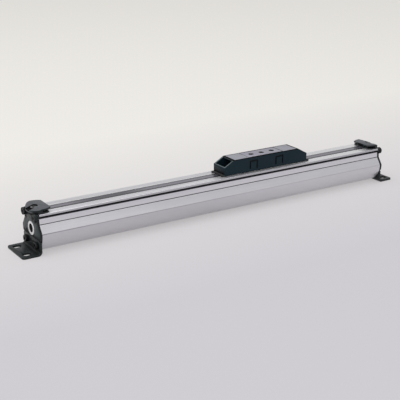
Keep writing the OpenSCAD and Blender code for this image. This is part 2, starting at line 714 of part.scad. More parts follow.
module cover_profile(inset, low) {
    drop = inset / cos(slope_angle);
    end = cover_l / 2 - inset;
    shoulder = top_z + cover_end_h + inset * tan(slope_angle) - drop;
    crest = cover_top_z - max(inset, 0);
    ramp = (crest - shoulder) / tan(slope_angle);
    polygon([[-end, low], [-end, shoulder], [-end + ramp, crest],
             [end - ramp, crest], [end, shoulder], [end, low]]);
}

// Opening in an end slope
module slope_window() translate([cover_l / 2, 0, top_z + cover_end_h]) rotate([0, slope_angle, 0])
    translate([2 - slope_size, 2.2 - cover_w / 2, -2 * cover_wall])
        cube([slope_size - 3.8, cover_w - 4.4, 8]);

module clip_slits() across_y(cover_w + 2)
    for (x = [-clip_x, clip_x]) translate([x, cover_low_z + 3.4]) difference() {
        translate([-clip_w / 2, 0]) square([clip_w, clip_h]);
        translate([clip_slit - clip_w / 2, -1])
            square([clip_w - 2 * clip_slit, clip_h + 1 - clip_slit]);
    }

module carriage_cover() color([0.1, 0.14, 0.15]) translate([carriage_x, 0, 0]) {
    difference() {
        across_y(cover_w) cover_profile(0, cover_low_z);
        across_y(cover_in_w) cover_profile(cover_wall + 0.3, cover_low_z - 1);
        // Seats of the top plates, and of the yoke between them
        translate([-cover_l / 2 + cover_slope_l + crest_rim, -cover_in_w / 2, plate_low_z])
            cube([cover_l - 2 * cover_slope_l - 2 * crest_rim, cover_in_w, 2 * plate_t]);
        slope_window();
        rotate([0, 0, 180]) slope_window();
        clip_slits();
        // Relief over the wipers
        translate([-cover_l, -cover_in_w / 2, cover_low_z - 1]) cube([2 * cover_l, cover_in_w, wiper_t + 1]);
    }
    both_sides() {
        // Rims beside the yoke's top face
        translate([-yoke_top_l / 2, yoke_w / 2 + 0.1, plate_low_z])
            cube([yoke_top_l, (cover_in_w - yoke_w) / 2, plate_t]);
        // Ledges under the top plates
        for (from = [yoke_half_l + 0.5, cover_slope_l - cover_l / 2])
            translate([from, cover_in_w / 2 - ledge_w, plate_low_z - ledge_h])
                cube([cover_l / 2 - cover_slope_l - yoke_half_l - 0.5, ledge_w + 0.1, ledge_h - eps]);
        // Catches of the clips
        for (x = [-clip_x, clip_x]) translate([x - catch_w / 2, yoke_w / 2 - 0.5, cover_low_z + 5.3])
            cube([catch_w, (cover_in_w - yoke_w) / 2 + 0.6, catch_h]);
    }
}

module top_plate() color([0.66, 0.66, 0.69])
    translate([yoke_top_l / 2 + seam, -cover_in_w / 2 + 0.1, plate_low_z])
        cube([cover_l / 2 - cover_slope_l - crest_rim - yoke_top_l / 2 - seam - 0.15,
              cover_in_w - 0.2, plate_t]);
module top_plate_right() carriage_right() top_plate();
module top_plate_left() carriage_left() top_plate();

module band_ramp() color([0.85, 0.85, 0.8]) {
    from = yoke_half_l;
    to = band_ramp_end;
    steps = 6;
    across_y(outer_band_w) polygon(concat(
        [[from, yoke_low_z], [to, yoke_low_z]],
        [for (i = [steps : -1 : 0]) let(x = from + (to - from) * i / steps)
            [x, max(yoke_low_z + 0.2, recess_z - 0.3 + outer_rise(carriage_x + x))]]));
}
module band_ramp_right() carriage_right() band_ramp();
module band_ramp_left() carriage_left() band_ramp();

module wiper() color([0.09, 0.1, 0.1]) translate([wiper_from, 0, wiper_low_z]) {
    tail_l = cover_l / 2 - wiper_from + 0.1;
    translate([0, 0.1 - cover_in_w / 2, 0]) cube([tail_l, cover_in_w - 0.2, wiper_t + 0.2]);
    // Lip over the cover's full width, with a prong at each side
    translate([tail_l - eps, -cover_w / 2, 0]) cube([wiper_out - wiper_prong_l, cover_w, wiper_t + 0.2]);
    both_sides() translate([tail_l - 2 * eps, cover_w / 2 - wiper_prong_w, 0])
        cube([wiper_out, wiper_prong_w, wiper_t + 0.2]);
}
module wiper_right() carriage_right() wiper();
module wiper_left() carriage_left() wiper();

module wiper_holder() color([0.14, 0.15, 0.16]) {
    out = cover_l / 2 - cover_wall - 0.35;
    translate([out - holder_l, -holder_w / 2, wiper_low_z + wiper_t + 0.2])
        cube([holder_l, holder_w, holder_h]);
}
module wiper_holder_right() carriage_right() wiper_holder();
module wiper_holder_left() carriage_left() wiper_holder();

module slide_strip() color([0.9, 0.9, 0.85])
    translate([carriage_x - wiper_from + 0.5, cover_in_w / 2 - 0.1 - strip_w, top_z + 0.1])
        cube([2 * wiper_from - 1, strip_w, yoke_low_z - top_z - 0.1]);
module slide_strip_near() mirror([0, 1, 0]) slide_strip();
module slide_strip_far() slide_strip();

barrel();
outer_band();
inner_band();
end_cap_left();
end_cap_right();
cap_screws_left();
cap_screws_right();
cap_seal_left();
cap_seal_right();
cushion_seal_left();
cushion_seal_right();
bumper_left();
bumper_right();
port_ring_left();
port_ring_right();
cushion_needle_left();
cushion_needle_right();
foot_left();
foot_right();
foot_screws_left();
foot_screws_right();
band_clamp_left();
band_clamp_right();
clamp_screw_left();
clamp_screw_right();
lug_screws_left();
lug_screws_right();
yoke();
piston_left();
piston_right();
piston_seal_left();
piston_seal_right();
wear_ring_left();
wear_ring_right();
magnet_left();
magnet_right();
cushion_spear_left();
cushion_spear_right();
piston_bolt_left();
piston_bolt_right();
carriage_cover();
top_plate_left();
top_plate_right();
band_ramp_left();
band_ramp_right();
wiper_left();
wiper_right();
wiper_holder_left();
wiper_holder_right();
slide_strip_near();
slide_strip_far();
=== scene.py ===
"""Dresses a band-sealed rodless cylinder.

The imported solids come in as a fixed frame. Every finish is procedural, the
machined and moulded pieces get softened edges, the sealing bands are laid in
as flat strips, and a plain studio with one camera stands round the object.
"""
import json
import logging
import math
from dataclasses import dataclass, field
from enum import Enum
from typing import Callable, Iterable, Sequence

import bmesh
import bpy
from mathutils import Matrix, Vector


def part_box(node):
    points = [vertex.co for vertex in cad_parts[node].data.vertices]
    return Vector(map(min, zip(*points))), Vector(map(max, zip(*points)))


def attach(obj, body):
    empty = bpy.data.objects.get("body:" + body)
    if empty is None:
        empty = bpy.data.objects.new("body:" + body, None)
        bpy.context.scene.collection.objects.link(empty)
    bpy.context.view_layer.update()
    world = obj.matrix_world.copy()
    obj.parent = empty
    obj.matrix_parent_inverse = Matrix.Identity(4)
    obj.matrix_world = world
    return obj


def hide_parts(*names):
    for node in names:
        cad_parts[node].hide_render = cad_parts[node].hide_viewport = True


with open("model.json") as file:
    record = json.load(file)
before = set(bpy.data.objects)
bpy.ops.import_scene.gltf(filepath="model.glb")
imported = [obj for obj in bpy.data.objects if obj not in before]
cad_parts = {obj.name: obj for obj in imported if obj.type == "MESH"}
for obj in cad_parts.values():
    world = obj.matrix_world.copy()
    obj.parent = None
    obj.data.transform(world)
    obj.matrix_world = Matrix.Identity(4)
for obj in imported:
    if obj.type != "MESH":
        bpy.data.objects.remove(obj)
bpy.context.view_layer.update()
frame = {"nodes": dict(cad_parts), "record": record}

logging.basicConfig(level=logging.INFO, format="%(message)s")
log = logging.getLogger("rodless_cylinder")

MM = 0.001
FAR = 1.0        # metres; beyond every face of the cylinder
SHARP = 32.0     # degrees; edges sharper than this are rounded
SMOOTH = 38.0    # degrees; edges duller than this are shaded smooth
Colour = tuple[float, float, float]
Socket = bpy.types.NodeSocket


class End(Enum):
    """The two ends of the cylinder; the value is the sign of X."""

    LEFT = -1
    RIGHT = 1

    @property
    def word(self) -> str:
        """The end's name as the nodes write it."""
        return self.name.lower()


def linear(colour: Colour) -> tuple[float, float, float, float]:
    """Turns a display colour into the linear value that a shader takes.

    Args:
        colour: red, green and blue from 0 to 1 as a display shows them.

    Returns:
        Linear red, green and blue, with an alpha of 1.
    """
    def channel(v: float) -> float:
        """Decodes one channel of the sRGB curve."""
        return v / 12.92 if v <= 0.04045 else ((v + 0.055) / 1.055) ** 2.4

    return (channel(colour[0]), channel(colour[1]), channel(colour[2]), 1.0)


# --------------------------------------------------------------------------
# Finishes
# --------------------------------------------------------------------------


class NodeBench:
    """A material's node tree, with short calls for the nodes the finishes use."""

    def __init__(self, name: str) -> None:
        """Makes the material and finds its shader.

        Args:
            name: the material's name.
        """
        self.material = bpy.data.materials.new(name)
        self.material.use_nodes = True
        self.tree = self.material.node_tree
        self.shader = self.tree.nodes["Principled BSDF"]
        self._coords = self.tree.nodes.new("ShaderNodeTexCoord")
        self._split = self.tree.nodes.new("ShaderNodeSeparateXYZ")
        self.join(self._coords.outputs["Object"], self._split.inputs["Vector"])

    def set(self, socket: str, value: object) -> None:
        """Sets one of the shader's own sockets."""
        self.shader.inputs[socket].default_value = value

    def join(self, output: Socket, target: Socket) -> None:
        """Links an output to an input."""
        self.tree.links.new(output, target)

    def place(self, scale: Sequence[float]) -> Socket:
        """Object coordinates, stretched per axis.

        Args:
            scale: how many pattern units there are to a metre along X, Y and Z.

        Returns:
            The mapped coordinates.
        """
        mapping = self.tree.nodes.new("ShaderNodeMapping")
        mapping.inputs["Scale"].default_value = tuple(scale)
        self.join(self._coords.outputs["Object"], mapping.inputs["Vector"])
        return mapping.outputs["Vector"]

    def noise(self, scale: Sequence[float], detail: float = 2.0, rough: float = 0.5) -> Socket:
        """A noise pattern.

        Args:
            scale: pattern units to a metre along X, Y and Z.
            detail: octaves of finer noise.
            rough: how strong the finer octaves are.

        Returns:
            The pattern's value, about 0 to 1.
        """
        node = self.tree.nodes.new("ShaderNodeTexNoise")
        node.inputs["Scale"].default_value = 1.0
        node.inputs["Detail"].default_value = detail
        node.inputs["Roughness"].default_value = rough
        self.join(self.place(scale), node.inputs["Vector"])
        return node.outputs["Fac"]

    def cells(self, scale: float) -> Socket:
        """A pattern of small round cells, as on spark-eroded mould faces.

        Args:
            scale: cells to a metre.

        Returns:
            The distance to the nearest cell's centre.
        """
        node = self.tree.nodes.new("ShaderNodeTexVoronoi")
        node.inputs["Scale"].default_value = 1.0
        self.join(self.place((scale, scale, scale)), node.inputs["Vector"])
        return node.outputs["Distance"]

    def spread(self, value: Socket, low: float, high: float,
               start: float = 0.3, stop: float = 0.7) -> Socket:
        """Maps a pattern's middle range onto new limits.

        Args:
            value: the pattern.
            low: result at start.
            high: result at stop.
            start: pattern value that gives low.
            stop: pattern value that gives high.

        Returns:
            The mapped value.
        """
        node = self.tree.nodes.new("ShaderNodeMapRange")
        node.inputs["From Min"].default_value = start
        node.inputs["From Max"].default_value = stop
        node.inputs["To Min"].default_value = low
        node.inputs["To Max"].default_value = high
        self.join(value, node.inputs["Value"])
        return node.outputs["Result"]

    def mix(self, value: Socket, first: object, second: Colour) -> Socket:
        """Mixes two colours by a pattern.

        Args:
            value: the pattern, 0 for the first colour and 1 for the second.
            first: a display colour, or the output of another mix.
            second: a display colour.

        Returns:
            The mixed colour.
        """
        node = self.tree.nodes.new("ShaderNodeMix")
        node.data_type = "RGBA"
        self.join(value, node.inputs["Factor"])
        if isinstance(first, tuple):
            node.inputs[6].default_value = linear(first)
        else:
            self.join(first, node.inputs[6])
        node.inputs[7].default_value = linear(second)
        return node.outputs[2]

    def sum_up(self, operation: str, one: Socket,
               two: Socket | float = 0.0) -> Socket:
        """Joins two values by arithmetic.

        Args:
            operation: the name of the arithmetic, as Blender writes it.
            one: the first value.
            two: the second value, or a number.

        Returns:
            The result.
        """
        node = self.tree.nodes.new("ShaderNodeMath")
        node.operation = operation
        self.join(one, node.inputs[0])
        if isinstance(two, float):
            node.inputs[1].default_value = two
        else:
            self.join(two, node.inputs[1])
        return node.outputs["Value"]

    def along(self, axis: str) -> Socket:
        """The object coordinate along an axis, in metres."""
        return self._split.outputs[axis]

    def from_middle(self, axis: str) -> Socket:
        """The distance from the object's middle plane along an axis, in metres."""
        return self.sum_up("ABSOLUTE", self.along(axis))

    def from_line(self, y: float, z: float) -> Socket:
        """The distance from a line that runs along X.

        Args:
            y: the line's place across the object, in metres.
            z: the line's height, in metres.

        Returns:
            The distance, in metres.
        """
        across = self.sum_up("SUBTRACT", self.along("Y"), y)
        above = self.sum_up("SUBTRACT", self.along("Z"), z)
        squares = self.sum_up("ADD", self.both(across, across), self.both(above, above))
        return self.sum_up("SQRT", squares)

    def both(self, one: Socket, two: Socket | float) -> Socket:
        """The product of two values, or of two masks where both hold."""
        return self.sum_up("MULTIPLY", one, two)

    def either(self, one: Socket, two: Socket) -> Socket:
        """The larger of two values, or a mask where one of two holds."""
        return self.sum_up("MAXIMUM", one, two)

    def between(self, value: Socket, low: float, high: float, soft: float) -> Socket:
        """A mask that is 1 where a value lies between two limits.

        Args:
            value: the value.
            low: lower limit.
            high: upper limit.
            soft: how far outside the limits the mask fades out.

        Returns:
            The mask.
        """
        return self.both(self.above(value, low - soft, low), self.below(value, high, high + soft))

    def above(self, value: Socket, start: float, full: float) -> Socket:
        """A mask that rises from 0 at start to 1 at full."""
        return self.spread(value, 0.0, 1.0, start, full)

    def below(self, value: Socket, full: float, stop: float) -> Socket:
        """A mask that falls from 1 at full to 0 at stop."""
        return self.spread(value, 1.0, 0.0, full, stop)

    def crevice(self, reach: float, deep: float = 0.35) -> Socket:
        """A mask that is 1 deep in the piece's own hollows and 0 on open faces.

        Args:
            reach: how far a wall may be and still shade a point, in metres.
            deep: how open a place may be and still count as deep, 0 to 1.

        Returns:
            The mask.
        """
        node = self.tree.nodes.new("ShaderNodeAmbientOcclusion")
        node.samples = 8
        node.only_local = True
        node.inputs["Distance"].default_value = reach
        return self.below(node.outputs["AO"], deep, 0.93)

    def looking(self, axis: str, either_way: bool = False,
                start: float = 0.5, full: float = 0.9) -> Socket:
        """A mask that is 1 on faces that look along an axis and 0 on the others.

        Args:
            axis: the axis.
            either_way: whether faces that look back along the axis count too.
            start: how squarely a face has to look that way to count, 0 to 1.
            full: how squarely it looks that way to count in full.

        Returns:
            The mask.
        """
        shape = self.tree.nodes.new("ShaderNodeNewGeometry")
        split = self.tree.nodes.new("ShaderNodeSeparateXYZ")
        self.join(shape.outputs["Normal"], split.inputs[0])
        way = split.outputs[axis]
        if either_way:
            way = self.sum_up("ABSOLUTE", way)
        return self.above(way, start, full)

    def edge(self, radius: float) -> Socket:
        """A mask that is 1 on edges and 0 on open faces.

        Args:
            radius: how far the edge reaches, in metres.

        Returns:
            The mask.
        """
        plain = self.tree.nodes.new("ShaderNodeNewGeometry")
        dot = self.tree.nodes.new("ShaderNodeVectorMath")
        dot.operation = "DOT_PRODUCT"
        self.join(self.rounded(radius), dot.inputs[0])
        self.join(plain.outputs["Normal"], dot.inputs[1])
        return self.below(dot.outputs["Value"], 0.82, 0.99)

    def rounded(self, radius: float) -> Socket:
        """The surface's direction as if its edges were rounded by a radius in metres."""
        node = self.tree.nodes.new("ShaderNodeBevel")
        node.samples = 6
        node.inputs["Radius"].default_value = radius
        return node.outputs["Normal"]

    def bump(self, layers: Iterable[tuple[Socket, float]], round_edges: float = 0.0) -> None:
        """Adds relief to the shader.

        Args:
            layers: each pattern with its height in metres.
            round_edges: radius that sharp edges are shaded with, in metres.
        """
        normal = self.rounded(round_edges) if round_edges else None
        for value, height in layers:
            node = self.tree.nodes.new("ShaderNodeBump")
            node.inputs["Strength"].default_value = 1.0
            node.inputs["Distance"].default_value = height
            self.join(value, node.inputs["Height"])
            if normal is not None:
                self.join(normal, node.inputs["Normal"])
            normal = node.outputs["Normal"]
        if normal is not None:
            self.join(normal, self.shader.inputs["Normal"])


@dataclass(frozen=True)
class DrawnMetal:
    """Metal drawn or extruded along X: fine lengthwise lines and faint bands of tone."""

    name: str
    slot: str
    tone: Colour
    shade: Colour
    metallic: float = 0.6
    roughness: float = 0.42
    line_width: float = 0.25 * MM
    relief: float = 0.004 * MM

    def build(self) -> bpy.types.Material:
        """Builds the material."""
        b = NodeBench(self.name)
        across = 1.0 / self.line_width
        lines = b.noise((6.0, across, across), 3.0, 0.65)
        bands = b.noise((1.5, 90.0, 90.0), 2.0)
        blotch = b.noise((14.0, 40.0, 40.0), 3.0)
        colour = b.mix(b.spread(lines, 0.0, 0.55), self.tone, self.shade)
        colour = b.mix(b.spread(bands, 0.0, 0.3), colour, self.shade)
        colour = self.trace(b, colour)
        b.join(colour, b.shader.inputs["Base Color"])
        b.set("Metallic", self.metallic)
        b.join(b.spread(blotch, self.roughness - 0.06, self.roughness + 0.07), b.shader.inputs["Roughness"])
        b.bump([(lines, self.relief)], 0.2 * MM)
        return b.material

    def trace(self, b: NodeBench, colour: Socket) -> Socket:
        """Adds what a particular drawn piece shows; plain stock shows nothing more."""
        return colour


@dataclass(frozen=True)
class ProfileMetal(DrawnMetal):
    """The anodised profile: scribed lines that hold dirt, painted shade in the grooves, under the ridge and
    at the bottom, and bright draw lines on top with a painted highlight.

    Lengths are in metres. The lip, the groove and the face lie one below the other from
    the top, and ridge_drop is the whole way from the top down to the ridge.
    """

    top: float = 0.0
    lip: float = 2.4 * MM
    groove: float = 2.5 * MM
    face: float = 7.2 * MM
    ridge_drop: float = 21.7 * MM
    contact_shade_top: float = 2.0 * MM
    contact_shade_fade: float = 2.4 * MM
    slot_side: float = 9.0 * MM
    groove_from: float = 17.9 * MM
    line: float = 0.32 * MM
    lit: tuple[float, float] = (60 * MM, 220 * MM)
    fainter: tuple[float, float] = (-20 * MM, 140 * MM)
    fading: tuple[float, float] = (-200 * MM, 60 * MM)
    groove_shade: Colour = (0.06, 0.06, 0.065)
    lip_side_tone: Colour = (0.62, 0.615, 0.635)
    scribed: Colour = (0.26, 0.26, 0.28)
    ridge_shade: Colour = (0.42, 0.415, 0.44)
    groove_rim_shade: Colour = (0.34, 0.335, 0.355)
    lower: Colour = (0.71, 0.705, 0.725)
    contact_shade: Colour = (0.50, 0.49, 0.51)
    polish_and_highlight: Colour = (0.97, 0.97, 0.975)

    def trace(self, b: NodeBench, colour: Socket) -> Socket:
        """Lays draw lines and a painted highlight along the top, paints shade into the grooves, under the
        ridge, at the bottom and along the ridge, and darkens the scribed lines.
        """
        colour = self.polish_and_light_top(b, colour)
        colour = self.shade_grooves(b, colour)
        colour = self.shade_underside(b, colour)
        return self.scribe(b, colour)

    def polish_and_light_top(self, b: NodeBench, colour: Socket) -> Socket:
        """Lays bright draw lines along the top face, partly painted light on the top, and a painted
        highlight that brightens the top towards the right.
        """
        streaks = b.noise((3.0, 520.0, 30.0), 2.0, 0.6)
        on_top = b.between(b.along("Z"), self.top - 0.2 * MM, self.top + 1.0 * MM, 0.1 * MM)
        # bright draw lines, partly real streaks and partly painted light on the top face
        colour = b.mix(b.both(on_top, b.spread(streaks, 0.0, 0.8, 0.45, 0.62)), colour, self.polish_and_highlight)
        # painted highlight: the top face is brighter towards the right
        return b.mix(b.both(on_top, b.above(b.along("X"), *self.lit)), colour, self.polish_and_highlight)

    def shade_grooves(self, b: NodeBench, colour: Socket) -> Socket:
        """Paints shade into the grooves and onto the rims under them, and darkens the sides of the lips
        over them.
        """
        groove_top = self.top - self.lip
        groove_low = groove_top - self.groove
        deep = b.between(b.from_middle("Y"), self.slot_side, self.groove_from, 0.25 * MM)
        high = b.between(b.along("Z"), groove_low - 0.1 * MM, groove_top - 0.25 * MM, 0.1 * MM)
        # painted shade darkens the inside of each groove
        colour = b.mix(b.both(deep, high), colour, self.groove_shade)
        rim = b.between(b.along("Z"), groove_low - 0.55 * MM, groove_low, 0.3 * MM)
        # painted shade on the narrow rim just under each groove
        colour = b.mix(rim, colour, self.groove_rim_shade)
        lip = b.between(b.along("Z"), groove_top - 0.2 * MM, self.top - 0.25 * MM, 0.15 * MM)
        side = b.between(b.from_middle("Y"), self.groove_from - 0.5 * MM, FAR, 0.2 * MM)
        # the sides of the lips over the grooves are darker
        return b.mix(b.both(lip, b.both(side, 0.55)), colour, self.lip_side_tone)

    def shade_underside(self, b: NodeBench, colour: Socket) -> Socket:
        """Paints shade on the round side under the ridge, less to the right, and a painted contact shadow
        along the bottom.
        """
        under = b.between(b.along("Z"), -FAR, self.top - self.ridge_drop - 0.2 * MM, 0.3 * MM)
        share = b.spread(b.along("X"), 0.5, 0.25, *self.fainter)
        # painted shade on the round side under the ridge
        colour = b.mix(b.both(under, share), colour, self.lower)
        # painted contact shadow along the bottom of the profile
        contact_mask = b.between(b.along("Z"), -FAR, self.contact_shade_top, self.contact_shade_fade)
        return b.mix(b.both(contact_mask, 0.6), colour, self.contact_shade)

    def scribe(self, b: NodeBench, colour: Socket) -> Socket:
        """Draws the line scribed under each side face, and a broken line of painted shade along the ridge.
        """
        line_z = self.top - self.lip - self.groove - self.face
        line = b.between(b.along("Z"), line_z - self.line, line_z + self.line, 0.12 * MM)
        colour = b.mix(line, colour, self.scribed)
        ridge = self.top - self.ridge_drop
        crease = b.between(b.along("Z"), ridge - 0.45 * MM, ridge + 0.3 * MM, 0.2 * MM)
        broken = b.spread(b.noise((9.0, 2.0, 2.0), 2.0), 0.4, 1.0)
        share = b.spread(b.along("X"), 0.9, 0.25, *self.fading)
        # painted shade along the ridge, broken and fading to the right
        return b.mix(b.both(crease, b.both(broken, share)), colour, self.ridge_shade)


@dataclass(frozen=True)
class BandMetal(DrawnMetal):
    """The sealing band: drawn steel with a worn middle, one dull stretch, and painted shade on its far edge
    and near side.

    Lengths are in metres.
    """

    half_width: float = 6.65 * MM
    worn_half: float = 1.6 * MM
    shaded_edge: float = 0.7 * MM
    near_fade: tuple[float, float] = (-5.45 * MM, -1.33 * MM)
    dull: tuple[float, float] = (-175 * MM, -135 * MM)
    dull_fade: float = 35 * MM
    edge_shade: Colour = (0.20, 0.195, 0.215)
    worn: Colour = (0.70, 0.69, 0.73)
    darker_stretch: Colour = (0.30, 0.295, 0.32)

    def trace(self, b: NodeBench, colour: Socket) -> Socket:
        """Paints shade on the far edge and the near side, darkens the dull stretch, and lightens the
        middle.
        """
        middle = b.between(b.from_middle("Y"), -FAR, self.worn_half, 1.8 * MM)
        colour = b.mix(b.both(middle, 0.5), colour, self.worn)
        stretch_mask = b.between(b.along("X"), *self.dull, self.dull_fade)
        colour = b.mix(b.both(stretch_mask, 0.75), colour, self.darker_stretch)
        # painted shade along the far edge
        far_shade = b.between(b.along("Y"), self.half_width - self.shaded_edge, FAR, 0.3 * MM)
        colour = b.mix(b.both(far_shade, 0.7), colour, self.edge_shade)
        # painted shade over the near side, strongest at the near edge
        near_shade = b.spread(b.along("Y"), 0.85, 0.0, *self.near_fade)
        return b.mix(near_shade, colour, self.edge_shade)


@dataclass(frozen=True)
class TurnedMetal:
    """Metal turned or milled: fine tool marks round the piece, bright on the edges."""

    name: str
    slot: str
    tone: Colour
    shade: Colour
    metallic: float = 0.85
    roughness: float = 0.3
    mark_width: float = 0.18 * MM
    relief: float = 0.003 * MM
    dull: float = 0.85

    def build(self) -> bpy.types.Material:
        """Builds the material."""
        b = NodeBench(self.name)
        fine = 1.0 / self.mark_width
        marks = b.noise((fine, fine * 0.08, fine * 0.08), 2.0, 0.6)
        cloud = b.noise((120.0, 120.0, 120.0), 3.0)
        colour = b.mix(b.spread(marks, 0.0, 0.5), self.tone, self.shade)
        colour = b.mix(b.spread(cloud, 0.0, 0.35), colour, self.shade)
        gloss = b.spread(cloud, self.roughness - 0.05, self.roughness + 0.1)
        colour, dark_layer = self.coat(b, colour)
        b.join(colour, b.shader.inputs["Base Color"])
        if dark_layer is None:
            b.set("Metallic", self.metallic)
        else:
            b.join(b.spread(dark_layer, self.metallic, 0.0, 0.0, 1.0), b.shader.inputs["Metallic"])
            gloss = b.either(gloss, b.spread(dark_layer, 0.0, self.dull, 0.0, 1.0))
        b.join(gloss, b.shader.inputs["Roughness"])
        b.bump([(marks, self.relief)], 0.15 * MM)
        return b.material

    def coat(self, b: NodeBench, colour: Socket
             ) -> tuple[Socket, Socket | None]:
        """Adds the coat that some machined pieces keep, or painted shade in a hole; bare ones keep none.

        Args:
            b: the material's bench.
            colour: the bare metal's colour.

        Returns:
            The colour, and a mask that is 1 on the coat, or None on bare pieces.
        """
        return colour, None


@dataclass(frozen=True)
class PortMetal(TurnedMetal):
    """The port insert: a bright turned rim round a threaded hole with painted shade in it."""

    port_z: float = 0.0
    bore: float = 5.15 * MM
    bore_shade: Colour = (0.05, 0.05, 0.055)

    def coat(self, b: NodeBench, colour: Socket
             ) -> tuple[Socket, Socket | None]:
        """Paints shade into the threaded hole."""
        # painted shade inside the threaded hole
        inside = b.between(b.from_line(0.0, self.port_z), -FAR, self.bore, 0.12 * MM)
        return b.mix(inside, colour, self.bore_shade), inside


@dataclass(frozen=True)
class YokeMetal(TurnedMetal):
    """The yoke: black anodised all over, then its top face milled bright."""

    milled_from: float = 0.0
    seam_from: float = FAR
    anodised: Colour = (0.02, 0.022, 0.025)

    def coat(self, b: NodeBench, colour: Socket
             ) -> tuple[Socket, Socket | None]:
        """Keeps the coat under the milled face, and dirt along the seam at its end."""
        unmilled = b.below(b.along("Z"), self.milled_from - 0.05 * MM, self.milled_from)
        seam = b.above(b.along("X"), self.seam_from - 0.1 * MM, self.seam_from)
        kept = b.either(unmilled, seam)
        return b.mix(kept, colour, self.anodised), kept


@dataclass(frozen=True)
class PowderCoat:
    """Satin black coat on metal: orange-peel relief, dust in the grain, edges rubbed lighter.

    Faces that look up get dust and painted light, most of all those above raised_from, and the
    jaw's end edge gets a painted highlight. End faces above the foot's top get a painted sheen,
    but not the lugs beyond lug_from, a place in Y and Z. Hollows, the end faces close to the foot
    and under the clamp's jaw, and the notch round the clamp's screw up to notch_top get painted
    shade and are dull. jaw_edge and jaw_shade are heights over raised_from, and foot_shade is a
    height over the foot's top. Lengths are in metres.
    """

    name: str
    slot: str
    tone: Colour
    rubbed: Colour
    roughness: float = 0.42
    grain: float = 0.7 * MM
    hollow: float = 13.0 * MM
    painted_shade: Colour = (0.008, 0.01, 0.012)
    dust_and_top_light: Colour = (0.10, 0.125, 0.13)
    dust_and_highlight: Colour = (0.32, 0.33, 0.35)
    end_sheen: Colour = (0.13, 0.19, 0.195)
    raised_from: float = FAR
    end_sheen_from: float = FAR
    lug_from: tuple[float, float] = (10.4 * MM, 38.5 * MM)
    notch: float = 5.05 * MM
    notch_top: float = 0.0
    jaw_half: float = 7.5 * MM
    jaw_edge: tuple[float, float] = (-0.4 * MM, 0.9 * MM)
    jaw_shade: tuple[float, float] = (-8.0 * MM, -3.5 * MM)
    foot_shade: tuple[float, float] = (1.0 * MM, 8.0 * MM)
    dull: float = 0.95

    def build(self) -> bpy.types.Material:
        """Builds the material."""
        b = NodeBench(self.name)
        fine = 1.0 / self.grain
        peel = b.noise((fine, fine, fine), 2.0, 0.55)
        speck = b.noise((fine * 3, fine * 3, fine * 3), 1.0)
        cloud = b.noise((45.0, 45.0, 45.0), 3.0)
        end_face = self.end_face(b)
        jaw_low, jaw_high = (self.raised_from + edge for edge in self.jaw_edge)
        lighter = tuple(min(1.0, c * 1.3 + 0.01) for c in self.tone)
        colour = b.mix(b.spread(cloud, 0.0, 0.7), self.tone, lighter)
        # painted sheen: the end faces above the foot are paler
        colour = b.mix(end_face, colour, self.end_sheen)
        # painted highlight along the end edge of the clamp's jaw
        jaw_highlight = b.between(b.along("Z"), jaw_low, jaw_high, 0.1 * MM)
        colour = b.mix(b.both(jaw_highlight, end_face), colour, self.dust_and_highlight)
        colour = self.lay_dust_and_light(b, colour, cloud)
        colour = b.mix(b.spread(speck, 0.0, 0.25, 0.5, 0.75), colour, self.rubbed)
        worn = b.both(b.edge(0.5 * MM), b.spread(cloud, 0.2, 0.6))
        colour = b.mix(worn, colour, self.rubbed)
        sheltered = self.sheltered(b, end_face)
        # painted shade where little light comes: hollows, near the foot, under the jaw, in the notch
        b.join(b.mix(sheltered, colour, self.painted_shade), b.shader.inputs["Base Color"])
        b.set("Metallic", 0.0)
        b.set("Specular IOR Level", 0.25)
        gloss = b.spread(peel, self.roughness - 0.05, self.roughness + 0.08)
        gloss = b.either(gloss, b.spread(sheltered, 0.0, self.dull, 0.0, 1.0))
        b.join(gloss, b.shader.inputs["Roughness"])
        b.bump([(peel, 0.02 * MM), (speck, 0.006 * MM)], 0.35 * MM)
        return b.material

    def end_face(self, b: NodeBench) -> Socket:
        """A mask that is 1 on the end faces above the foot and 0 on the lugs that cover them."""
        face = b.both(b.looking("X", True), b.between(b.along("Z"), self.end_sheen_from, FAR, 0.1 * MM))
        beside = b.between(b.from_middle("Y"), self.lug_from[0], FAR, 0.1 * MM)
        lug = b.both(beside, b.between(b.along("Z"), self.lug_from[1], FAR, 0.1 * MM))
        return b.both(face, b.below(lug, 0.0, 1.0))

    def lay_dust_and_light(self, b: NodeBench, colour: Socket, cloud: Socket) -> Socket:
        """Lays dust and painted light on the faces that look up.

        Args:
            b: the material's bench.
            colour: the colour so far.
            cloud: the pattern that the dust follows.

        Returns:
            The colour with the dust and painted light on it.
        """
        dust_and_light = b.both(b.looking("Z"), b.spread(cloud, 0.75, 1.0))
        # dust and painted light on the faces that look up
        colour = b.mix(dust_and_light, colour, self.dust_and_top_light)
        raised = b.above(b.along("Z"), self.raised_from, self.raised_from + 0.1 * MM)
        # dust and a painted highlight on the raised top faces
        return b.mix(b.both(raised, dust_and_light), colour, self.dust_and_highlight)

    def sheltered(self, b: NodeBench, end_face: Socket) -> Socket:
        """A mask that is 1 where little light comes.

        Args:
            b: the material's bench.
            end_face: the mask of the machined end faces.

        Returns:
            The mask.
        """
        height, across = b.along("Z"), b.from_middle("Y")
        jaw_low, jaw_high = (self.raised_from + edge for edge in self.jaw_edge)
        under_jaw = b.both(b.between(across, -FAR, self.jaw_half, 3.0 * MM),
                           b.above(height, *(self.raised_from + edge for edge in self.jaw_shade)))
        capped = b.below(height, jaw_low - 0.1 * MM, jaw_low)
        near_foot = b.spread(height, 0.8, 0.0, *(self.end_sheen_from + edge for edge in self.foot_shade))
        shaded = b.both(b.either(b.both(under_jaw, capped), near_foot), end_face)
        notch = b.both(b.between(across, -FAR, self.notch, 0.05 * MM),
                       b.between(height, jaw_high, self.notch_top, 0.1 * MM))
        return b.either(b.crevice(self.hollow, 0.58), b.either(notch, shaded))


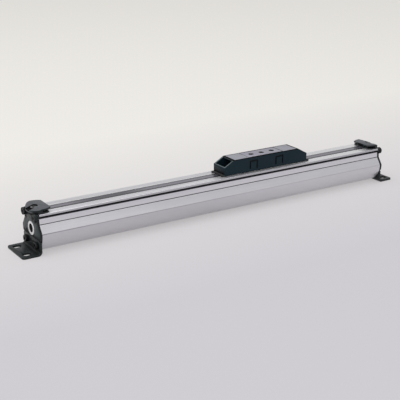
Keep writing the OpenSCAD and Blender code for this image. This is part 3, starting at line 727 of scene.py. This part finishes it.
@dataclass(frozen=True)
class MouldedPlastic:
    """Moulded plastic with a spark-eroded grain and faint flow marks.

    Hollows get painted shade, and above rim_from it gets painted shade and is dull. Where ends_from
    is set, painted shade darkens its end faces down to that height and painted light pales the slopes over
    them. Lengths are in metres.
    """

    name: str
    slot: str
    tone: Colour
    flow: Colour
    roughness: float = 0.5
    grain: float = 0.45 * MM
    relief: float = 0.02 * MM
    hollow: float = 6.0 * MM
    painted_shade: Colour = (0.015, 0.02, 0.025)
    shine: float = 0.4
    rim_from: float = FAR
    rim: Colour = (0.0, 0.01, 0.02)
    ends_from: float | None = None
    ends_fade: float = 5.0 * MM
    slope_light: Colour = (0.33, 0.37, 0.39)

    def build(self) -> bpy.types.Material:
        """Builds the material."""
        b = NodeBench(self.name)
        grain = b.cells(1.0 / self.grain)
        fine = b.noise((4000.0, 4000.0, 4000.0), 1.0)
        flow = b.noise((22.0, 60.0, 60.0), 3.0)
        colour = b.mix(b.spread(flow, 0.0, 0.8), self.tone, self.flow)
        colour = b.mix(b.spread(grain, 0.0, 0.18, 0.1, 0.7), colour, self.flow)
        if self.ends_from is not None:
            colour = self.trim_ends(b, colour, self.ends_from)
        # painted shade in the piece's own hollows
        colour = b.mix(b.crevice(self.hollow), colour, self.painted_shade)
        rim = b.above(b.along("Z"), self.rim_from - 0.2 * MM, self.rim_from)
        # painted shade along the top rim
        colour = b.mix(rim, colour, self.rim)
        b.join(colour, b.shader.inputs["Base Color"])
        b.set("Metallic", 0.0)
        b.set("Specular IOR Level", self.shine)
        gloss = b.spread(flow, self.roughness - 0.05, self.roughness + 0.06)
        b.join(b.sum_up("ADD", gloss, b.both(rim, 0.4)), b.shader.inputs["Roughness"])
        b.bump([(grain, self.relief), (fine, self.relief * 0.3)], 0.3 * MM)
        return b.material

    def trim_ends(self, b: NodeBench, colour: Socket, low_z: float) -> Socket:
        """Paints shade on the end faces, darkest at the bottom, and paints light on the slopes above them.

        Args:
            b: the material's bench.
            colour: the colour so far.
            low_z: the height up to which an end face is darkest.

        Returns:
            The colour with the ends in it.
        """
        end_face = b.looking("X", True)
        low = b.below(b.along("Z"), low_z, low_z + self.ends_fade)
        # painted shade on the end faces, darkest at the bottom
        colour = b.mix(b.both(end_face, low), colour, self.painted_shade)
        slope = b.both(b.looking("X", True, 0.25, 0.4), b.looking("Z", False, 0.6, 0.8))
        # painted light on the slopes, which look partly up
        return b.mix(slope, colour, self.slope_light)


@dataclass(frozen=True)
class SealRubber:
    """Dull black rubber with a faint bloom."""

    name: str
    slot: str
    tone: Colour = (0.10, 0.10, 0.105)
    bloom: Colour = (0.20, 0.20, 0.205)

    def build(self) -> bpy.types.Material:
        """Builds the material."""
        b = NodeBench(self.name)
        bloom = b.noise((160.0, 160.0, 160.0), 4.0)
        grain = b.noise((2600.0, 2600.0, 2600.0), 2.0)
        b.join(b.mix(b.spread(bloom, 0.0, 0.6), self.tone, self.bloom), b.shader.inputs["Base Color"])
        b.join(b.spread(bloom, 0.62, 0.8), b.shader.inputs["Roughness"])
        b.bump([(grain, 0.012 * MM)], 0.2 * MM)
        return b.material


class Finishes:
    """Every finish of the cylinder, each built once and kept by its slot's name."""

    def __init__(self) -> None:
        """Lists the finishes and builds their materials."""
        barrel_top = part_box("barrel")[1].z
        cover_low, cover_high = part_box("carriage_cover")
        port_low, port_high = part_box("port_ring_left")
        recipes = [
            ProfileMetal("anodised_profile", "anodised_aluminium",
                         (0.91, 0.905, 0.92), (0.82, 0.815, 0.835), 0.8, 0.36, top=barrel_top),
            BandMetal("band_steel", "band_steel",
                      (0.52, 0.51, 0.54), (0.43, 0.42, 0.45), 0.85, 0.26, 0.2 * MM),
            DrawnMetal("inner_band_steel", "inner_band_steel",
                       (0.62, 0.60, 0.58), (0.5, 0.49, 0.47), 0.85, 0.35),
            PowderCoat("cap_coat", "cap_black", (0.05, 0.075, 0.08), (0.40, 0.42, 0.43), 0.34,
                       raised_from=barrel_top + 0.5 * MM, end_sheen_from=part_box("foot_left")[1].z,
                       notch_top=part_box("band_clamp_left")[1].z - 0.3 * MM),
            # the screw heads over the profile get dust and a painted highlight on top
            PowderCoat("screw_oxide", "black_screws", (0.03, 0.035, 0.04), (0.26, 0.26, 0.265), 0.3,
                       grain=0.3 * MM, hollow=2.5 * MM, dust_and_highlight=(0.42, 0.42, 0.43),
                       raised_from=barrel_top + 1.0 * MM),
            SealRubber("seal_rubber", "seal_rubber"),
            PortMetal("port_metal", "port_metal", (0.95, 0.95, 0.955), (0.86, 0.86, 0.87), 0.4, 0.3,
                      port_z=(port_low.z + port_high.z) / 2),
            YokeMetal("yoke_aluminium", "yoke_aluminium",
                      (0.66, 0.655, 0.70), (0.57, 0.565, 0.605), 0.5, 0.42,
                      milled_from=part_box("yoke")[1].z - 0.1 * MM,
                      seam_from=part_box("top_plate_right")[0].x - 1.5 * MM),
            MouldedPlastic("piston_plastic", "piston_plastic", (0.15, 0.15, 0.16), (0.2, 0.2, 0.21)),
            MouldedPlastic("wear_plastic", "wear_plastic", (0.82, 0.80, 0.72), (0.76, 0.73, 0.64)),
            TurnedMetal("magnet_grey", "magnet_grey", (0.26, 0.26, 0.28), (0.2, 0.2, 0.22), 0.4, 0.5),
            TurnedMetal("spear_aluminium", "spear_aluminium", (0.74, 0.74, 0.76), (0.64, 0.64, 0.66)),
            MouldedPlastic("cover_plastic", "cover_plastic", (0.03, 0.115, 0.15), (0.045, 0.135, 0.17),
                           shine=0.2, rim_from=cover_high.z - 0.7 * MM, ends_from=cover_low.z + 3.0 * MM),
            MouldedPlastic("top_plate_grey", "top_plate_grey",
                           (0.585, 0.585, 0.62), (0.53, 0.53, 0.565), 0.42, 0.6 * MM),
        ]
        self.by_slot = {recipe.slot: recipe.build() for recipe in recipes}
        log.info("finishes: %d materials", len(self.by_slot))

    def dress(self, obj: bpy.types.Object, slot: str) -> None:
        """Gives an object the finish of a slot.

        Args:
            obj: the object.
            slot: the slot's name.
        """
        obj.data.materials.clear()
        obj.data.materials.append(self.by_slot[slot])


# --------------------------------------------------------------------------
# Modelling bench
# --------------------------------------------------------------------------


class Bench:
    """Modelling steps that several pieces share."""

    @staticmethod
    def only(obj: bpy.types.Object) -> None:
        """Deselects everything, then selects and activates one object."""
        bpy.ops.object.select_all(action="DESELECT")
        obj.select_set(True)
        bpy.context.view_layer.objects.active = obj

    @staticmethod
    def settle(obj: bpy.types.Object) -> None:
        """Moves an object's place, turn and size into its mesh."""
        Bench.only(obj)
        bpy.ops.object.transform_apply(location=True, rotation=True, scale=True)

    @staticmethod
    def box(name: str, low: Vector, high: Vector) -> bpy.types.Object:
        """Adds a cube that fills a box.

        Args:
            name: the new object's name.
            low: lowest corner.
            high: highest corner.

        Returns:
            The object, at the origin, with its place in its mesh.
        """
        bpy.ops.object.select_all(action="DESELECT")
        bpy.ops.mesh.primitive_cube_add(size=1.0, location=(low + high) / 2, scale=high - low)
        obj = bpy.context.object
        obj.name = obj.data.name = name
        Bench.settle(obj)
        return obj

    @staticmethod
    def pick(obj: bpy.types.Object, kind: str, test: Callable[[object], bool]) -> None:
        """Selects faces or edges of the object in edit mode, and nothing else.

        Args:
            obj: the object, in edit mode.
            kind: "faces" or "edges".
            test: tells whether a face or edge is wanted.
        """
        bpy.ops.mesh.select_all(action="DESELECT")
        mesh = bmesh.from_edit_mesh(obj.data)
        bpy.context.tool_settings.mesh_select_mode = (False, kind == "edges", kind == "faces")
        for item in getattr(mesh, kind):
            if test(item):
                item.select_set(True)
        mesh.select_flush_mode()
        bmesh.update_edit_mesh(obj.data)

    @staticmethod
    def soften(obj: bpy.types.Object, width: float, angle: float, segments: int, smooth: float) -> None:
        """Rounds the sharp edges of an object and shades it smooth up to an angle.

        Args:
            obj: the object.
            width: width of the rounding, in metres.
            angle: edges sharper than this are rounded, in degrees.
            segments: faces across each rounded edge.
            smooth: edges duller than this are shaded smooth, in degrees.
        """
        Bench.only(obj)
        bevel = obj.modifiers.new("rounding", "BEVEL")
        bevel.width = width
        bevel.segments = segments
        bevel.limit_method = "ANGLE"
        bevel.angle_limit = math.radians(angle)
        bevel.use_clamp_overlap = False
        bevel.harden_normals = False
        bpy.ops.object.modifier_apply(modifier=bevel.name)
        bpy.ops.object.shade_smooth_by_angle(angle=math.radians(smooth))


@dataclass
class Dresser:
    """Turns CAD nodes into finished pieces.

    Points of a node closer than weld, in metres, become one, and neighbouring faces that
    turn by less than flat, in degrees, are joined.
    """

    finishes: Finishes
    weld: float = 0.002 * MM
    flat: float = 0.6
    slots: dict[str, str] = field(default_factory=dict)
    bodies: dict[str, str] = field(default_factory=dict)

    def __post_init__(self) -> None:
        """Reads each node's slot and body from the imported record."""
        record = frame["record"]
        self.slots = {s["node"]: s["material_slot"] for s in record["subparts"]}
        for body, members in record["behaviour"]["bodies"].items():
            for node in members:
                self.bodies[node] = body

    def paint(self, node: str) -> None:
        """Gives a CAD node its finish and leaves its shape."""
        self.finishes.dress(frame["nodes"][node], self.slots[node])
        log.info("painted %s", node)

    def adopt(self, obj: bpy.types.Object, node: str) -> None:
        """Makes a piece stand for a CAD node: same body, same slot, same finish.

        Args:
            obj: the piece.
            node: the CAD node that it replaces.
        """
        self.finishes.dress(obj, self.slots[node])
        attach(obj, self.bodies[node])
        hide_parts(node)
        log.info("piece %s stands for %s", obj.name, node)

    def soften(self, node: str, width: float, angle: float = SHARP, segments: int = 2,
               smooth: float = SMOOTH) -> None:
        """Copies a CAD node, merges it, rounds its edges, and lets the copy stand for it.

        Args:
            node: the CAD node.
            width: width of the rounding, in metres.
            angle: edges sharper than this are rounded, in degrees.
            segments: faces across each rounded edge.
            smooth: edges duller than this are shaded smooth, in degrees.
        """
        source = frame["nodes"][node]
        obj = source.copy()
        obj.data = source.data.copy()
        obj.name = obj.data.name = node + "_finished"
        obj.parent = None
        for key in list(obj.keys()):
            del obj[key]
        bpy.context.scene.collection.objects.link(obj)
        Bench.only(obj)
        bpy.ops.object.mode_set(mode="EDIT")
        bpy.ops.mesh.select_all(action="SELECT")
        bpy.ops.mesh.remove_doubles(threshold=self.weld)
        bpy.ops.mesh.dissolve_limited(angle_limit=math.radians(self.flat))
        bpy.ops.mesh.dissolve_degenerate(threshold=self.weld)
        bpy.ops.object.mode_set(mode="OBJECT")
        Bench.soften(obj, width, angle, segments, smooth)
        self.adopt(obj, node)


# --------------------------------------------------------------------------
# Sub-assemblies
# --------------------------------------------------------------------------


@dataclass
class SealBands:
    """The outer and inner bands, laid in flat.

    On the product the bands lift and dip wherever the carriage stands, so a
    fixed hump would be left behind when the carriage moves. A flat strip is
    right at every place of the carriage, and the carriage hides the rest.
    """

    dresser: Dresser
    edge_round: float = 0.22 * MM
    outer_thickness: float = 0.8 * MM
    inner_thickness: float = 0.7 * MM
    rail: float = 1.1 * MM
    dish: float = 0.05 * MM

    def build(self) -> None:
        """Builds both strips."""
        low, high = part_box("outer_band")
        outer = Bench.box("outer_band_strip", low, Vector((high.x, high.y, low.z + self.outer_thickness)))
        self.shape(outer)
        self.dresser.adopt(outer, "outer_band")
        low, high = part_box("inner_band")
        inner = Bench.box("inner_band_strip", Vector((low.x, low.y, high.z - self.inner_thickness)), high)
        self.shape(inner)
        self.dresser.adopt(inner, "inner_band")

    def shape(self, strip: bpy.types.Object) -> None:
        """Rounds a strip's long edges and rolls its top a little hollow along the middle.

        Args:
            strip: the strip.
        """
        length = strip.dimensions.x
        Bench.only(strip)
        bpy.ops.object.mode_set(mode="EDIT")
        Bench.pick(strip, "edges", lambda e: abs(e.verts[0].co.x - e.verts[1].co.x) > length / 2)
        bpy.ops.mesh.bevel(offset=self.edge_round, segments=3, affect="EDGES")
        Bench.pick(strip, "faces", lambda f: f.normal.z > 0.99)
        bpy.ops.mesh.inset(thickness=self.rail, depth=0.0)
        bpy.ops.transform.translate(value=(0.0, 0.0, -self.dish))
        bpy.ops.object.mode_set(mode="OBJECT")
        bpy.ops.object.shade_smooth_by_angle(angle=math.radians(SMOOTH))


@dataclass
class Barrel:
    """The extruded profile."""

    dresser: Dresser
    edge: float = 0.22 * MM
    corner: float = 40.0
    crease: float = 16.0

    def build(self) -> None:
        """Softens the profile's edges and keeps its lengthwise creases crisp."""
        self.dresser.soften("barrel", self.edge, self.corner, 3, self.crease)


@dataclass
class EndGroup:
    """One end: cap, foot, port, band clamp and their screws."""

    dresser: Dresser
    end: End
    cap_edge: float = 0.12 * MM
    foot_edge: float = 0.35 * MM
    clamp_edge: float = 0.32 * MM
    screw_edge: float = 0.22 * MM
    ring_edge: float = 0.15 * MM

    def build(self) -> None:
        """Builds this end's pieces."""
        side = self.end.word
        self.dresser.soften(f"end_cap_{side}", self.cap_edge)
        self.dresser.soften(f"foot_{side}", self.foot_edge)
        self.dresser.soften(f"band_clamp_{side}", self.clamp_edge)
        for name in ("cap_screws", "foot_screws", "clamp_screw", "lug_screws"):
            self.dresser.soften(f"{name}_{side}", self.screw_edge)
        self.dresser.soften(f"port_ring_{side}", self.ring_edge)
        for name in ("cap_seal", "cushion_seal", "bumper", "cushion_needle"):
            self.dresser.paint(f"{name}_{side}")


@dataclass
class Carriage:
    """The carriage: cover, top plates, yoke, pistons and what they hold."""

    dresser: Dresser
    cover_edge: float = 0.35 * MM
    plate_edge: float = 0.15 * MM
    yoke_edge: float = 0.18 * MM
    wiper_edge: float = 0.2 * MM

    def build(self) -> None:
        """Builds the carriage's pieces."""
        self.dresser.soften("carriage_cover", self.cover_edge)
        self.dresser.soften("yoke", self.yoke_edge)
        for end in End:
            side = end.word
            self.dresser.soften(f"top_plate_{side}", self.plate_edge)
            self.dresser.soften(f"wiper_{side}", self.wiper_edge)
            for name in ("piston", "piston_seal", "wear_ring", "magnet", "cushion_spear", "piston_bolt",
                         "band_ramp", "wiper_holder"):
                self.dresser.paint(f"{name}_{side}")
        for side in ("near", "far"):
            self.dresser.paint(f"slide_strip_{side}")


# --------------------------------------------------------------------------
# Studio
# --------------------------------------------------------------------------


@dataclass(frozen=True)
class Lamp:
    """A square area lamp that faces the middle of the floor: place and size in metres, power in watts."""

    name: str
    place: tuple[float, float, float]
    size: float
    power: float

    def hang(self) -> None:
        """Adds the lamp to the scene."""
        data = bpy.data.lights.new(self.name, "AREA")
        data.shape = "SQUARE"
        data.size = self.size
        data.energy = self.power
        obj = bpy.data.objects.new(self.name, data)
        obj.location = self.place
        obj.rotation_mode = "QUATERNION"
        obj.rotation_quaternion = (-Vector(self.place)).to_track_quat("-Z", "Y")
        bpy.context.scene.collection.objects.link(obj)


@dataclass
class Studio:
    """A plain pale floor, soft light and the camera; angles in degrees, lens in millimetres."""

    camera_place: Vector = field(default_factory=lambda: Vector((-643.99, -967.92, 411.35)) * MM)
    camera_down: float = 18.892
    camera_turn: float = 32.505
    lens: float = 87.41
    floor_size: float = 16.0
    floor_gap: float = 0.05 * MM
    floor_near: Colour = (0.80, 0.79, 0.81)
    floor_far: Colour = (0.93, 0.92, 0.90)
    floor_fade: tuple[float, float] = (-0.2, 0.4)
    floor_glow: float = 0.6
    overhead: Lamp = Lamp("overhead", (-0.25, 0.15, 1.9), 2.2, 24.0)
    front_fill: Lamp = Lamp("front_fill", (-0.9, -2.0, 0.9), 1.8, 16.0)
    air: Colour = (0.93, 0.93, 0.935)
    air_strength: float = 0.62

    def build(self) -> None:
        """Builds the studio."""
        self.colour_settings()
        self.place_camera()
        self.place_floor()
        self.place_lamps()

    def colour_settings(self) -> None:
        """Shows colours as they are written."""
        bpy.context.scene.view_settings.view_transform = "Standard"

    def place_camera(self) -> None:
        """Adds the camera and makes it the scene's."""
        data = bpy.data.cameras.new("camera")
        data.lens = self.lens
        data.sensor_width = 36.0
        data.clip_start = 0.05
        data.clip_end = 50.0
        camera = bpy.data.objects.new("camera", data)
        camera.location = self.camera_place
        tilt = math.radians(90.0 - self.camera_down)
        camera.rotation_euler = (tilt, 0.0, math.radians(-self.camera_turn))
        bpy.context.scene.collection.objects.link(camera)
        bpy.context.scene.camera = camera

    def place_floor(self) -> None:
        """Adds the paper floor, painted lighter towards the back as a fall-off of light."""
        bpy.ops.object.select_all(action="DESELECT")
        bpy.ops.mesh.primitive_plane_add(size=self.floor_size, location=(0.0, 0.0, -self.floor_gap))
        floor = bpy.context.object
        floor.name = "paper_floor"
        Bench.settle(floor)
        b = NodeBench("paper")
        grain = b.noise((700.0, 700.0, 700.0), 3.0)
        # painted light: the paper gets lighter towards the back
        tone = b.mix(b.above(b.along("Y"), *self.floor_fade), self.floor_near, self.floor_far)
        b.join(tone, b.shader.inputs["Base Color"])
        b.set("Roughness", 0.85)
        b.set("Specular IOR Level", 0.1)
        b.bump([(grain, 0.02 * MM)])
        floor.data.materials.append(self.lift_shadow(b, tone))

    def lift_shadow(self, b: NodeBench, tone: Socket) -> bpy.types.Material:
        """Lets the paper glow a little where the camera sees it, so that shadows on it stay soft.

        Args:
            b: the paper's bench.
            tone: the paper's colour.

        Returns:
            The paper's material.
        """
        glow = b.tree.nodes.new("ShaderNodeEmission")
        b.join(tone, glow.inputs["Color"])
        seen = b.tree.nodes.new("ShaderNodeLightPath")
        wanted = b.either(seen.outputs["Is Camera Ray"], seen.outputs["Is Glossy Ray"])
        share = b.both(wanted, self.floor_glow)
        blend = b.tree.nodes.new("ShaderNodeMixShader")
        b.join(share, blend.inputs["Fac"])
        b.join(b.shader.outputs["BSDF"], blend.inputs[1])
        b.join(glow.outputs["Emission"], blend.inputs[2])
        b.join(blend.outputs["Shader"], b.tree.nodes["Material Output"].inputs["Surface"])
        return b.material

    def place_lamps(self) -> None:
        """Adds a broad lamp overhead, a soft fill from the front and the world's light."""
        self.overhead.hang()
        self.front_fill.hang()
        world = bpy.data.worlds.new("studio")
        bpy.context.scene.world = world
        world.use_nodes = True
        background = world.node_tree.nodes["Background"]
        background.inputs["Color"].default_value = linear(self.air)
        background.inputs["Strength"].default_value = self.air_strength


def main() -> None:
    """Builds the studio and every sub-assembly."""
    Studio().build()
    dresser = Dresser(Finishes())
    Barrel(dresser).build()
    SealBands(dresser).build()
    for end in End:
        EndGroup(dresser, end).build()
    Carriage(dresser).build()


if __name__ == "__main__":
    main()
